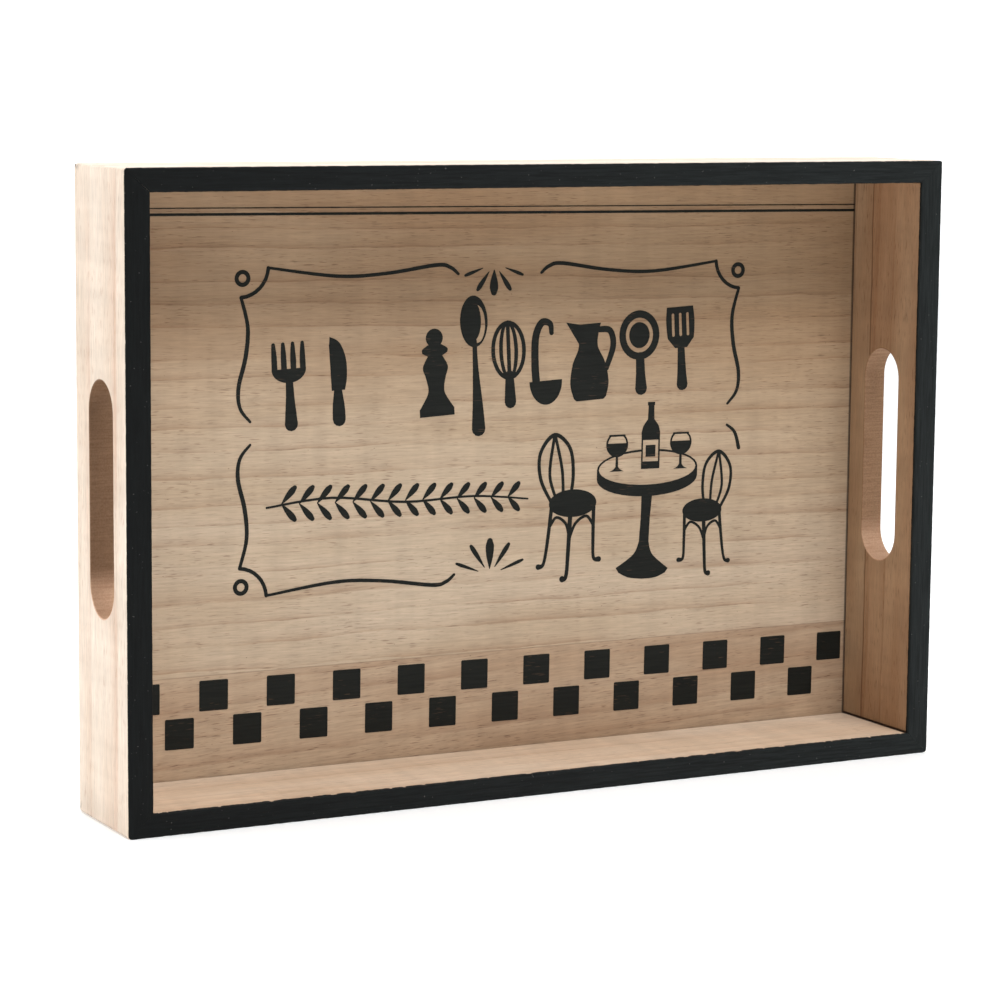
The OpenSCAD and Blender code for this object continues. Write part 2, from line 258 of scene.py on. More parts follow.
world = bpy.data.worlds.new("white room")
world.use_nodes = True
scene.world = world
seen = wires(add(world.node_tree, "ShaderNodeLightPath"))["Is Camera Ray"]
fill(world.node_tree.nodes["Background"], {
    "Color": (0.97, 0.985, 1.0, 1.0),
    "Strength": seen * (SEEN_ROOM - ROOM_STRENGTH) + ROOM_STRENGTH})


def stage_sheet(name, corners, glow, tint):
    """A flat white sheet behind or under the object, which glows evenly."""
    mesh = bpy.data.meshes.new(name)
    mesh.from_pydata(corners, [], [(0, 1, 2, 3)])
    sheet = linked_object(name, mesh)
    sheet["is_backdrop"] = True
    coat = bpy.data.materials.new(name)
    coat.use_nodes = True
    fill(coat.node_tree.nodes["Principled BSDF"], {
        "Base Color": (0.93, 0.935, 0.94, 1.0), "Roughness": 0.75, "Specular IOR Level": 0.2,
        "Emission Color": tint, "Emission Strength": glow})
    mesh.materials.append(coat)


half = FLOOR_SIZE / 2
corners = [(-half, -half), (half, -half), (half, half), (-half, half)]
upright = [(x, BACKDROP_Y, BACKDROP_H if y > 0 else 0) for x, y in corners]
stage_sheet("floor", [(x, y, 0) for x, y in corners], TABLE_GLOW, (0.96, 0.985, 1.0, 1.0))
stage_sheet("backdrop", upright, BACKDROP_GLOW, (1.0, 1.0, 1.0, 1.0))

# %% [markdown]
# ## Wood grain as a solid
#
# A board is cut out of a trunk, so its figure is a solid pattern and every face shows a different
# section of the same rings. The grain group copies that. It takes a place in mm, turned so that X runs
# along the grain, Y across the board's face and Z through it, and measures the distance from the
# trunk's heart far off to the side. Whole numbers of ring widths in that distance are the dark lines.
#
# Slow noise bends the rings and makes them uneven, and a fade breaks them up along their length. More
# noises give the fine fibres, the short dark pores that crowd into each ring's start, the cloudy tone
# of the board and the faint flecks that run across the grain.


# %% Grain group
def noise_at(spot, seed, detail, roughness=0.5, output="Fac"):
    """Noise from 0 to 1 with features about 1 long; another seed gives another noise."""
    inputs = {"Vector": spot, "W": seed, "Scale": 1.0, "Detail": detail, "Roughness": roughness}
    return put("ShaderNodeTexNoise", inputs, output, noise_dimensions="4D")


def stretched_noise(place, lengths, seed, detail=2.0, roughness=0.5):
    """Noise whose features have the given lengths, in mm, along, across and through."""
    return noise_at(place / lengths, seed, detail, roughness)


def ring_profile(share):
    """Darkness through one year's ring: a thin dark start, a soft fade, then a long pale stretch."""
    ramp = add(share.socket.id_data, "ShaderNodeValToRGB", {"Fac": share})
    darkness = ((0.0, 0.55), (0.04, 1.0), (0.11, 0.6), (0.3, 0.3), (0.55, 0.1), (0.9, 0.08))
    points = ramp.color_ramp.elements
    points[0].position, points[1].position = darkness[0][0], darkness[-1][0]
    for position, _ in darkness[1:-1]:
        points.new(position)
    for point, (_, value) in zip(points, darkness):
        point.color = (value, value, value, 1.0)
    return Wire(ramp.outputs["Color"])


def grain_group():
    tree = bpy.data.node_groups.new("wood grain", "ShaderNodeTree")
    sockets = {"INPUT": ("Place", "Ring width", "Heart", "Bend", "Seed"),
               "OUTPUT": ("Rings", "Fibre", "Pores", "Tone", "Flecks")}
    for in_out, names in sockets.items():
        for name in names:
            kind = "NodeSocketVector" if name == "Place" else "NodeSocketFloat"
            tree.interface.new_socket(name=name, in_out=in_out, socket_type=kind)
    given = wires(tree.nodes.new("NodeGroupInput"))
    place, seed = given["Place"], given["Seed"]

    bend = (stretched_noise(place, (240, 80, 80), seed) - 0.5) * given["Bend"]
    ripple = stretched_noise(place, (30, 11, 11), seed, detail=3.0) * 3.4 - 1.7
    parts = split(place)
    across = parts["Y"] + given["Heart"] + (bend + ripple)
    rings = calc("LENGTH", join(X=across, Y=parts["Z"])) / given["Ring width"]
    uneven_inputs = {"W": rings + seed, "Scale": 0.6, "Detail": 1.0}
    uneven = put("ShaderNodeTexNoise", uneven_inputs, "Fac", noise_dimensions="1D")
    band = ring_profile(calc("FRACT", rings + uneven * 1.1))
    fade = remap(stretched_noise(place, (75, 22, 22), seed, detail=3.0), 0.36, 0.62, 0.2, 1.0)
    pore_noise = stretched_noise(place, (6.5, 0.5, 0.5), seed, detail=1.5)
    crowding = remap(stretched_noise(place, (50, 14, 14), seed), 0.4, 0.62, 0.3, 0.9)
    add(tree, "NodeGroupOutput", {
        "Rings": band * fade,
        "Fibre": stretched_noise(place, (18.0, 0.9, 0.9), seed, detail=4.0, roughness=0.7),
        "Pores": remap(pore_noise, 0.57, 0.70) * calc("MAXIMUM", band, crowding),
        "Tone": stretched_noise(place, (130, 20, 20), seed),
        "Flecks": stretched_noise(place, (9.0, 55, 55), seed),
    })
    return tree


GRAIN = grain_group()
print("grain group has", len(GRAIN.nodes), "nodes")

# %% [markdown]
# ## Boards of paulownia
#
# Paulownia is pale, light and unvarnished here, so it is matt and its colours are close together: the
# finish lives on small differences. Each board picks its own two ground colours, the colour of its
# ring lines, how wide its rings are and where in the trunk it grew. Every noise value darkens or warms
# the ground a little. The fibres, pores and rings drive the bump too, so what looks like a pore also
# catches light like one.


# %% Wood material
def start_material(name, order, slope=0.0):
    """A new material, its shader, and the piece's coordinates in mm, turned for the grain and in parts.

    The order names the axes along, across and through the grain, which leans by the slope."""
    material = bpy.data.materials.new(name)
    material.use_nodes = True
    tree = material.node_tree
    parts = split(scaled(wires(add(tree, "ShaderNodeTexCoord"))["Object"], 1 / MM))
    along, across, through = (parts[axis] for axis in order)
    place = join(X=along, Y=along * slope + across, Z=through)
    return material, tree.nodes["Principled BSDF"], place, parts


def read_grain(place, ring_width, heart, bend, seed):
    inputs = {"Place": place, "Ring width": ring_width, "Heart": heart, "Bend": bend, "Seed": seed}
    return wires(add(place.socket.id_data, "ShaderNodeGroup", inputs, node_tree=GRAIN))


def wood_colour(grain, colours, ring_strength=0.4, pore_strength=0.5):
    """The board's colour from its two ground colours, its ring colour, its pore colour and the grain."""
    pale, deep, ring, pore = colours
    ground = blend(remap(grain["Tone"], 0.32, 0.68), pale, deep)
    ringed = blend(grain["Rings"] * ring_strength, ground, ring)
    pored = blend(grain["Pores"] * pore_strength, ringed, pore)
    fibres = remap(grain["Fibre"], 0.34, 0.66, 0.87, 1.12, smooth=False)
    flecks = remap(grain["Flecks"], 0.35, 0.65, 0.955, 1.045, smooth=False)
    return put("ShaderNodeHueSaturation", {"Value": fibres * flecks, "Color": pored})


def wood_relief(grain, depth=0.09 * MM):
    """Normals of a sanded surface: raised fibres, sunk pores and slightly sunk rings."""
    height = grain["Pores"] * -0.9 + grain["Fibre"] + grain["Rings"] * -0.25
    return put("ShaderNodeBump", {"Height": height, "Distance": depth, "Strength": 0.55})


def finish_wood(shader, shown, grain):
    """Gives a wood's colour, roughness and relief to its shader."""
    rough = remap(grain["Fibre"], 0.3, 0.7, 0.62, 0.8, smooth=False)
    normal = wood_relief(grain)
    fill(shader, {"Base Color": shown, "Roughness": rough, "Normal": normal, "Specular IOR Level": 0.3})


# %% [markdown]
# ### Walls
#
# The end walls have their grain upright and the long walls have it lying. Inside a finger slot the
# router has left the wood rougher and browner, with fine chatter marks across the cut, so the end wall's
# material knows where the slot is. That brown is partly the wood's own and partly painted shade in the
# slot, deeper in the left wall's slot than in the right one's, and the lower end of the cut is painted
# pale as a highlight where light from above falls. The two rear corners and the foot of an end wall have
# grey scuffs from being stood on, drawn as noise that fades away from those edges, and where two inner
# faces meet a hair of painted shadow darkens the wood.

# %% Wall sizes from the frame
end_low, end_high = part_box("end_wall_left")
long_low, long_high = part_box("long_wall_lower")
paint_low, paint_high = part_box("rim_paint_left")
panel_low, panel_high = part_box("base_panel")

END_WALL_T = end_high.x - end_low.x
LONG_WALL_T = long_high.z - long_low.z
PAINT_T = paint_high.y - paint_low.y
PANEL_T = panel_high.y - panel_low.y
DEPTH = cad_high.y - cad_low.y
REBATE_W = 5 * MM
SLOT_LENGTH = 100 * MM
SLOT_W = 27 * MM
print("walls in mm:", round(END_WALL_T / MM, 2), round(LONG_WALL_T / MM, 2), "panel", round(PANEL_T / MM, 2))


# %% Wall masks
STRIP_Y = 10.0


def slot_mask(parts):
    """1 inside a finger slot and 0 on the board around it; parts are the coordinates in mm."""
    half_run = (SLOT_LENGTH - SLOT_W) / 2 / MM
    radius = SLOT_W / 2 / MM
    past_run = calc("MAXIMUM", abs(parts["Z"] - middle.z / MM) - half_run, 0.0)
    return remap(calc("LENGTH", join(X=past_run, Y=parts["Y"])), radius + 0.75, radius + 0.25)


def scuff_mask(parts):
    """Grey marks that fade away from the rear corners and the foot of an end wall."""
    to_foot = abs(parts["Z"])
    to_end = calc("MINIMUM", to_foot, cad_high.z / MM - parts["Z"])
    corner = remap(cad_high.y / MM - parts["Y"] + to_end, 0.0, 9.0, 1.0, 0.0)
    foot = remap(to_foot, 0.0, 1.6, 0.7, 0.0)
    patchy = remap(stretched_noise(join(**parts), (2.2, 2.2, 3.0), 5.0, detail=3.0), 0.44, 0.62)
    return calc("MAXIMUM", corner, foot) * patchy


def rear_strip(place, parts):
    """The greyer strip of an end board beside the panel: its share and the dark line in front of it."""
    drift = stretched_noise(place, (35, 35, 35), 3.0) * 3.0 - 1.5
    past = parts["Y"] - STRIP_Y + drift
    line = remap(past, -0.5, 0.0) * remap(past, 0.1, 0.9, 1.0, 0.0)
    return remap(past, -0.3, 0.5), line


def joint_shade_mask(parts):
    """1 on the hair of shadow where the inner faces of two walls meet, and 0 elsewhere."""
    gap_x = (cad_high.x - END_WALL_T) / MM - abs(parts["X"])
    gap_z = parts["Z"] - LONG_WALL_T / MM
    return remap(calc("MAXIMUM", abs(gap_x), abs(gap_z)), 0.7, 1.2, 0.9, 0.0)


# %% Wall materials
def routed_wood_and_light(place, parts, colours, seed):
    """The rough wood inside a slot: chatter marks and crumbs, with a painted highlight at its lower end."""
    chatter = put("ShaderNodeTexNoise", {"Vector": place / (0.9, 14.0, 14.0), "Scale": 1.0}, "Fac")
    marks = chatter + stretched_noise(place, (0.7, 0.7, 0.7), seed)
    # Painted highlight: towards the lower end of the slot the colours blend to the paler pair, where light
    # from above falls.
    lit_foot = remap(parts["Z"], *SLOT_FOOT_HIGHLIGHT_Z)
    dark, pale = (blend(lit_foot, fresh, worn) for fresh, worn in zip(colours, SLOT_FOOT_HIGHLIGHT))
    return blend(remap(marks, 0.6, 1.4), dark, pale)


def end_wall_material(name, colours, ring_width, heart, bend, seed, routed_colours_and_shade, strip=0.0):
    """An end board; strip is how strongly its rear strip differs from the rest."""
    material, shader, place, parts = start_material(name, "ZYX", 0.012)
    grain = read_grain(place, ring_width, heart, bend, seed)
    face = wood_colour(grain, colours, ring_strength=0.5, pore_strength=0.75)
    share, line = rear_strip(place, parts)
    greyer = blend(share * strip, face, GREYING, how="MULTIPLY")
    lined = blend(line * strip, greyer, LINE_WOOD)
    shown = blend(slot_mask(parts), lined, routed_wood_and_light(place, parts, routed_colours_and_shade, seed))
    scuffed = blend(scuff_mask(parts), shown, SCUFF_GREY)
    finish_wood(shader, blend(joint_shade_mask(parts), scuffed, JOINT_SHADE), grain)
    return material


def long_wall_material(name, colours, ring_width, heart, seed, slope):
    material, shader, place, parts = start_material(name, "XYZ", slope)
    grain = read_grain(place, ring_width, heart, 8.0, seed)
    finish_wood(shader, blend(joint_shade_mask(parts), wood_colour(grain, colours), JOINT_SHADE), grain)
    return material


CREAM_BOARD = ((221, 206, 190), (212, 195, 177), (184, 138, 108), (164, 116, 86))
AMBER_BOARD = ((181, 148, 116), (164, 127, 95), (136, 94, 65), (92, 60, 42))
PEACH_BOARD = ((217, 198, 178), (211, 186, 161), (184, 148, 118), (126, 92, 70))
BLEACHED_BOARD = ((224, 211, 197), (217, 201, 184), (192, 160, 134), (134, 100, 78))
GREYING = (0.98, 1.08, 1.15, 1.0)
LINE_WOOD = (96, 66, 46)
SCUFF_GREY = (92, 84, 78)
# Painted shadow: the colour of the hair of shade where two inner faces meet, and in the panel's seams.
JOINT_SHADE = (58, 42, 32)
# Routed wood in the slots, browner than the boards: partly the wood's own colour and partly painted shade,
# deeper in the left wall's slot than in the right one's.
ROUTED_WOOD_DEEP_SHADE = ((111, 81, 57), (134, 103, 77))
ROUTED_WOOD_SOFT_SHADE = ((136, 102, 74), (163, 128, 98))
# Painted highlight on the lower end of a slot, and the heights over which it fades in.
SLOT_FOOT_HIGHLIGHT = ((196, 154, 124), (219, 181, 151))
SLOT_FOOT_HIGHLIGHT_Z = (109.0, 93.0)

wall_materials = {
    "end_wall_left": end_wall_material(
        "cream end board", CREAM_BOARD, 18.0, 180.0, 3.0, 2.0, ROUTED_WOOD_DEEP_SHADE),
    "end_wall_right": end_wall_material(
        "amber end board", AMBER_BOARD, 9.0, 120.0, 14.0, 7.0, ROUTED_WOOD_SOFT_SHADE, strip=0.8),
    "long_wall_lower": long_wall_material("peach lower board", PEACH_BOARD, 11.0, 210.0, 4.0, 0.008),
    "long_wall_upper": long_wall_material("bleached upper board", BLEACHED_BOARD, 12.0, 180.0, 9.0, -0.006),
}

# %% [markdown]
# ### Panel
#
# The panel is glued up from boards whose grain lies along the tray. Its rings are about a centimetre
# apart and sink very slightly to the right. The lowest board, under the glue line, is pinker, more
# open-pored and has its grain rising instead, so the material switches boards at the height of that
# line and draws the line itself as a hair of shadow. Shade is painted on the panel: it darkens towards
# its top and towards the upper right, and it is painted dark in the seams along both end walls.

# %% Panel material
GLUE_LINE_Z = 55.0
PANEL_SLOPE = 0.012
PANEL_GRAIN = (10.6, 320.0, 11.0, 3.0)
LOWER_BOARD_SLOPE = -0.055
LOWER_BOARD_PLACE = (310.0, 63.0, 17.0)
TOP_WOOD_IN_SHADE = ((175, 151, 124), (164, 137, 109), (124, 90, 64), (92, 62, 42))
PALE_WOOD = ((201, 182, 159), (191, 170, 145), (146, 111, 84), (104, 72, 52))
LOWER_WOOD = ((191, 168, 143), (177, 150, 124), (138, 102, 77), (92, 60, 44))
PANEL_SHADE_TINT = (0.82, 0.76, 0.68, 1.0)
SEAM_X = (cad_high.x - END_WALL_T) / MM


def panel_material():
    material, shader, place, parts = start_material("panel boards", "XZY", PANEL_SLOPE)
    lower = calc("LESS_THAN", parts["Z"], GLUE_LINE_Z)
    rising = join(Y=parts["X"] * LOWER_BOARD_SLOPE * lower)
    place = place + scaled(LOWER_BOARD_PLACE, lower) + rising
    grain = read_grain(place, *PANEL_GRAIN)

    # The top of the panel is painted darker, as shade under the upper wall.
    high, low = (wood_colour(grain, wood, 0.55, 0.6) for wood in (TOP_WOOD_IN_SHADE, PALE_WOOD))
    upper = blend(remap(parts["Z"], 235.0, 130.0), high, low)
    boards = blend(lower, upper, wood_colour(grain, LOWER_WOOD, pore_strength=0.75))
    # Painted shade: the panel darkens towards the right and upwards, where the walls keep light off it.
    from_left = remap(parts["X"], -190.0, 190.0, 0.3, 1.0)
    from_foot = remap(parts["Z"], GLUE_LINE_Z, 200.0, 0.12, 1.0)
    shaded = blend(from_left * from_foot, boards, PANEL_SHADE_TINT, how="MULTIPLY")
    line = remap(abs(parts["Z"] - GLUE_LINE_Z), 0.1, 0.35, 0.3, 0.0)
    glued = blend(line, shaded, (92, 66, 50))
    speck_noise = stretched_noise(place, (1.5, 0.8, 0.8), 21.0, detail=1.0)
    specked = blend(remap(speck_noise, 0.76, 0.8, 0.0, 0.6), glued, (84, 58, 44))
    # Painted shadow in the seams along both end walls.
    seam = remap(abs(parts["X"]), SEAM_X - 0.9, SEAM_X - 0.3, 0.0, 0.8)
    at_front = calc("LESS_THAN", parts["Y"], (panel_low.y + panel_high.y) / 2 / MM)
    finish_wood(shader, blend(seam * at_front, specked, JOINT_SHADE), grain)
    return material


PANEL_WOOD = panel_material()

# %% [markdown]
# ## Paint, ink and steel
#
# The rim has a brushed coat of matt, slightly green black, darkest on the left and paler towards the
# right, a painted sheen. It soaks into the wood, so the fibres still show as relief, and dust leaves
# pale specks. The print is a thinner ink that lets the deepest pores show through as brown pinholes,
# so it reads the grain of the panel's upper boards.
# Both are nearly black and keep a low specular level: at a normal one, the white room alone would lift
# them to grey. The brads are zinc-plated steel.


# %% Paint, ink and steel materials
# Painted sheen: the rim paint is darkest on the left and paler towards the right.
PAINT_LEFT = ((8, 10, 10), (14, 17, 17))
PAINT_RIGHT_SHEEN = ((22, 25, 25), (35, 39, 39))


def paint_material(name, order, seed):
    material, shader, place, parts = start_material(name, order)
    grain = read_grain(place, 9.0, 150.0, 8.0, seed)
    to_right = remap(parts["X"], -200.0, 200.0, smooth=False)
    darkest, palest = (blend(to_right, left, right) for left, right in zip(PAINT_LEFT, PAINT_RIGHT_SHEEN))
    strokes = blend(remap(grain["Fibre"], 0.34, 0.66), darkest, palest)
    dust_noise = stretched_noise(place, (1.1, 1.1, 1.1), seed + 11.0, detail=1.0)
    fill(shader, {
        "Base Color": blend(remap(dust_noise, 0.725, 0.785, 0.0, 0.4), strokes, (120, 118, 114)),
        "Roughness": remap(grain["Tone"], 0.3, 0.7, 0.50, 0.68),
        "Normal": wood_relief(grain, 0.12 * MM),
        "Specular IOR Level": 0.13})
    return material


def ink_material():
    material, shader, place, _ = start_material("printed ink", "XZY", PANEL_SLOPE)
    grain = read_grain(place, *PANEL_GRAIN)
    body = blend(remap(grain["Fibre"], 0.3, 0.7), (20, 22, 20), (31, 33, 30))
    fill(shader, {
        "Base Color": blend(remap(grain["Pores"], 0.45, 0.9, 0.0, 0.55), body, (88, 68, 52)),
        "Roughness": remap(grain["Fibre"], 0.3, 0.7, 0.5, 0.66),
        "Normal": wood_relief(grain),
        "Specular IOR Level": 0.14})
    return material


def steel_material():
    material, shader, place, _ = start_material("zinc-plated steel", "XYZ")
    blotch = stretched_noise(place, (0.7, 0.7, 0.7), 1.0, detail=3.0)
    plated = blend(remap(blotch, 0.35, 0.65), (186, 186, 182), (150, 148, 142))
    rust = remap(stretched_noise(place, (0.5, 0.5, 0.5), 6.0), 0.58, 0.7, 0.0, 0.5)
    fill(shader, {
        "Base Color": blend(rust, plated, (120, 84, 58)),
        "Roughness": remap(blotch, 0.3, 0.7, 0.28, 0.5),
        "Normal": put("ShaderNodeBump", {"Height": blotch, "Distance": 0.03 * MM, "Strength": 0.5}),
        "Metallic": 1.0})
    return material


rim_paints = {
    "rim_paint_left": paint_material("left rim paint", "ZYX", 5.0),
    "rim_paint_right": paint_material("right rim paint", "ZYX", 6.0),
    "rim_paint_lower": paint_material("lower rim paint", "XYZ", 8.0),
    "rim_paint_upper": paint_material("upper rim paint", "XYZ", 9.0),
}
INK = ink_material()
STEEL = steel_material()
print("materials:", sorted(m.name for m in bpy.data.materials))

# %% [markdown]
# ## A board as a sweep
#
# Each wall is one profile swept along one line, then cut off at a slant at both ends. That is a job for
# Geometry Nodes: the object is the profile curve, and the tree runs it along a line from -1 to 1. A
# sine packs the stations closer towards the ends, where the corners are rounded later. Set Position
# then stretches every point to the half length that the board has at that depth of its thickness, and
# this one multiplication makes both mitres.
#
# The rim paint is a second, thinner profile in the same tree. It also gets a wander: noise that pushes
# it sideways, which lets a little bare wood through at the edges, and that shifts the skirt of the
# paint, the part that laps round an edge, so its border is as uneven as a brushed one.


# %% Sweep tree
def new_geometry_tree(name, **sockets):
    """An empty Geometry Nodes tree that takes a geometry and sockets of each kind, and their wires."""
    tree = bpy.data.node_groups.new(name, "GeometryNodeTree")
    tree.interface.new_socket(name="Geometry", in_out="OUTPUT", socket_type="NodeSocketGeometry")
    for kind, names in {"Geometry": ["Geometry"], **sockets}.items():
        for socket in names:
            tree.interface.new_socket(name=socket, in_out="INPUT", socket_type="NodeSocket" + kind)
    return tree, wires(tree.nodes.new("NodeGroupInput"))


def finish_geometry_tree(geometry, material):
    """Ends a tree with Realize Instances and Set Material, and returns the tree."""
    tree = geometry.socket.id_data
    real = put("GeometryNodeRealizeInstances", {"Geometry": geometry})
    coated = put("GeometryNodeSetMaterial", {"Geometry": real, "Material": material})
    add(tree, "NodeGroupOutput", {"Geometry": coated})
    print(tree.name, "tree has", len(tree.nodes), "nodes")
    return tree


def start(tree, kind, inputs=None, **settings):
    """The wire of a node that begins a chain, with nothing wired into it."""
    return Wire(add(tree, kind, inputs, **settings).outputs[0])


def swings_at(spot, seed, detail, roughness=0.5):
    """A vector of three noises, each from -0.5 to 0.5."""
    rough = noise_at(spot, seed, detail, roughness, "Color")
    return put("ShaderNodeVectorMath", {0: rough, 1: (0.5, 0.5, 0.5)}, operation="SUBTRACT")


def sweep_tree():
    sizes = ["Half length", "Mitre", "Skirt start", "Wander", "Wander size", "Seed"]
    tree, given = new_geometry_tree("mitred sweep", Float=sizes, Int=["Stations"], Material=["Material"])
    line = start(tree, "GeometryNodeCurvePrimitiveLine", {"Start": (-1, 0, 0), "End": (1, 0, 0)})
    stations = put("GeometryNodeResampleCurve", {"Curve": line, "Count": given["Stations"]})
    swept_inputs = {"Curve": stations, "Profile Curve": given["Geometry"], "Fill Caps": True}
    swept = put("GeometryNodeCurveToMesh", swept_inputs)

    parts = split(start(tree, "GeometryNodeInputPosition"))
    share = calc("SINE", parts["X"] * (math.pi / 2))
    spot = join(X=share * given["Half length"], Y=parts["Y"]) / given["Wander size"]
    swings = split(swings_at(spot, given["Seed"], 4.0, roughness=0.65))
    aside = swings["X"] * given["Wander"] + parts["Y"]
    inward = calc("MINIMUM", aside, 0.0)
    half = given["Mitre"] * inward + given["Half length"]
    below = parts["Z"] * -1.0 - given["Skirt start"]
    loose = calc("DIVIDE", below, 0.5 * MM, clamp=True)
    deeper = swings["Y"] * (given["Wander"] * 2.0) * loose + parts["Z"]
    moved = join(X=share * half, Y=inward, Z=deeper)
    placed = put("GeometryNodeSetPosition", {"Geometry": swept, "Position": moved})
    return finish_geometry_tree(placed, given["Material"])


SWEEP = sweep_tree()


# %% Running a tree
def result_mesh(thing):
    """What an object's modifiers make of it, as a plain mesh."""
    graph = bpy.context.evaluated_depsgraph_get()
    return bpy.data.meshes.new_from_object(thing.evaluated_get(graph))


def run_tree(source, tree, values, name):
    """Runs a Geometry Nodes tree on the source object and returns its result as a plain mesh."""
    modifier = source.modifiers.new(tree.name, "NODES")
    modifier.node_group = tree
    sockets = {s.name: s.identifier for s in tree.interface.items_tree if s.in_out == "INPUT"}
    for label, value in values.items():
        modifier[sockets[label]] = value
    source.update_tag()
    mesh = result_mesh(source)
    mesh.name = name
    bpy.data.objects.remove(source)
    return mesh


def profile_object(points):
    """A closed flat curve through the points (inward, backward), as seen at the end of a board."""
    curve = bpy.data.curves.new("profile", "CURVE")
    curve.dimensions = "2D"
    spline = curve.splines.new("POLY")
    spline.points.add(len(points) - 1)
    for point, (inward, backward) in zip(spline.points, points):
        point.co = (inward, backward, 0.0, 1.0)
    spline.use_cyclic_u = True
    return linked_object("profile", curve)


# %% [markdown]
# ## The four walls
#
# A wall's profile is a rectangle with the rebate taken out of its inner back corner. Nothing sawn and
# sanded keeps a perfect edge, so every corner of the profile is a small arc: wider at the rim, where
# hands rub, and just a hair at the ledge. The ledge also stops half a millimetre short of the panel,
# which leaves the thin dark seam between them, and the end walls' mitres are open by a hair on the
# inside, as they are when a saw is not set to quite 45 degrees. A list of corners with their radii is
# turned into the outline by one function, for any profile.


# %% Wall profile
def rounded_outline(corners, steps=4):
    """Outline through corners (x, y, radius), each rounded by a curve that touches both its sides."""
    outline = []
    for i, (x, y, radius) in enumerate(corners):
        here = Vector((x, y))
        before = (Vector(corners[i - 1][:2]) - here).normalized()
        after = (Vector(corners[(i + 1) % len(corners)][:2]) - here).normalized()
        for step in range(steps + 1):
            turn = step / steps * math.pi / 2
            lead, trail = 1 - math.sin(turn), 1 - math.cos(turn)
            outline.append(tuple(here + radius * (before * lead + after * trail)))
    return outline


RIM_R = 0.8 * MM
BACK_R = 0.6 * MM
LEDGE_R = 0.3 * MM
SEAM = 0.5 * MM
OPEN_MITRE = 0.6 * MM


def wall_profile(thickness):
    ledge = DEPTH - PANEL_T - SEAM
    lip = thickness - REBATE_W
    return rounded_outline([
        (0, PAINT_T, RIM_R), (0, DEPTH, BACK_R), (lip, DEPTH, LEDGE_R), (lip, ledge, 0.1 * MM),
        (thickness, ledge, LEDGE_R), (thickness, PAINT_T, RIM_R)])


print("wall profile:", len(wall_profile(END_WALL_T)), "points")


# %% Placing a board in its side of the tray
def side_places():
    """For each side: where a board's local axes go, half its length, and its thickness and neighbour's."""
    across = {"x": Vector((1, 0, 0)), "z": Vector((0, 0, 1))}
    half_x, half_z = cad_high.x, middle.z
    ends = (END_WALL_T, LONG_WALL_T)
    longs = (LONG_WALL_T, END_WALL_T)
    return {
        "left": (Vector((cad_low.x, cad_low.y, half_z)), across["z"], across["x"], half_z, *ends),
        "right": (Vector((cad_high.x, cad_low.y, half_z)), across["z"], -across["x"], half_z, *ends),
        "lower": (Vector((0, cad_low.y, cad_low.z)), across["x"], across["z"], half_x, *longs),
        "upper": (Vector((0, cad_low.y, cad_high.z)), across["x"], -across["z"], half_x, *longs),
    }


SIDES = side_places()
CORNER_R = 1.6 * MM
WORN_CORNER_R = 2.6 * MM


def round_tray_corners(mesh):
    """Pulls points outside the tray's rounded corners onto the round; the lower right one is worn."""
    for vertex in mesh.vertices:
        x, z = vertex.co.x, vertex.co.z
        radius = WORN_CORNER_R if x > 0 and z < middle.z else CORNER_R
        centre_z = radius if z < middle.z else cad_high.z - radius
        centre = Vector((math.copysign(cad_high.x - radius, x), centre_z))
        out = Vector((x, z)) - centre
        past_both = out.x * x > 0 and out.y * (z - middle.z) > 0
        if past_both and out.length > radius:
            vertex.co.x, vertex.co.z = centre + out * (radius / out.length)


def tidy_mesh(mesh, sharp_degrees=38):
    """Merges doubles, turns the faces outwards and smooths all but the sharp edges."""
    builder = bmesh.new()
    builder.from_mesh(mesh)
    bmesh.ops.remove_doubles(builder, verts=builder.verts, dist=0.002 * MM)
    bmesh.ops.recalc_face_normals(builder, faces=builder.faces)
    builder.to_mesh(mesh)
    builder.free()
    mesh.shade_smooth()
    mesh.set_sharp_from_angle(angle=math.radians(sharp_degrees))


def board_mesh(side, profile, opening, values, name):
    """Sweeps a profile along one side of the tray, with its mitres open by so much at the inner face."""
    origin, along, inward, half_length, thickness, neighbour = SIDES[side]
    sizes = {"Half length": half_length, "Mitre": (neighbour + opening) / thickness}
    mesh = run_tree(profile_object(profile), SWEEP, {**sizes, **values}, name)
    backward = Vector((0, 1, 0))
    turn = Matrix((along, -inward, -backward)).transposed().to_4x4()
    mesh.transform(Matrix.Translation(origin) @ turn)
    round_tray_corners(mesh)
    tidy_mesh(mesh)
    return mesh


# %% Sweep the walls
WALL_SIDES = {"end_wall_left": "left", "end_wall_right": "right",
              "long_wall_lower": "lower", "long_wall_upper": "upper"}
walls = {}
for node_name, side in WALL_SIDES.items():
    values = {"Stations": 121, "Skirt start": 1.0, "Wander": 0.0, "Wander size": 0.01, "Seed": 0.0,
              "Material": wall_materials[node_name]}
    opening = OPEN_MITRE if node_name.startswith("end") else 0.0
    mesh = board_mesh(side, wall_profile(SIDES[side][4]), opening, values, node_name + "_board")
    walls[node_name] = linked_object(node_name + "_board", mesh)
    print(node_name, len(mesh.polygons), "faces")

# %% [markdown]
# ## Finger slots
#
# A slot is routed through each end wall, and a round-over bit then eases its edges on both faces. The
# cutter here has that same shape: a rounded slot that widens by a quarter circle towards each face.
# A Boolean modifier takes it out of the board in one cut, which leaves the eased edge behind, and the
# modifier's result is kept as a plain mesh.

# %% Slot cutter
SLOT_EDGE_R = 0.45 * MM
BEYOND = 4 * MM


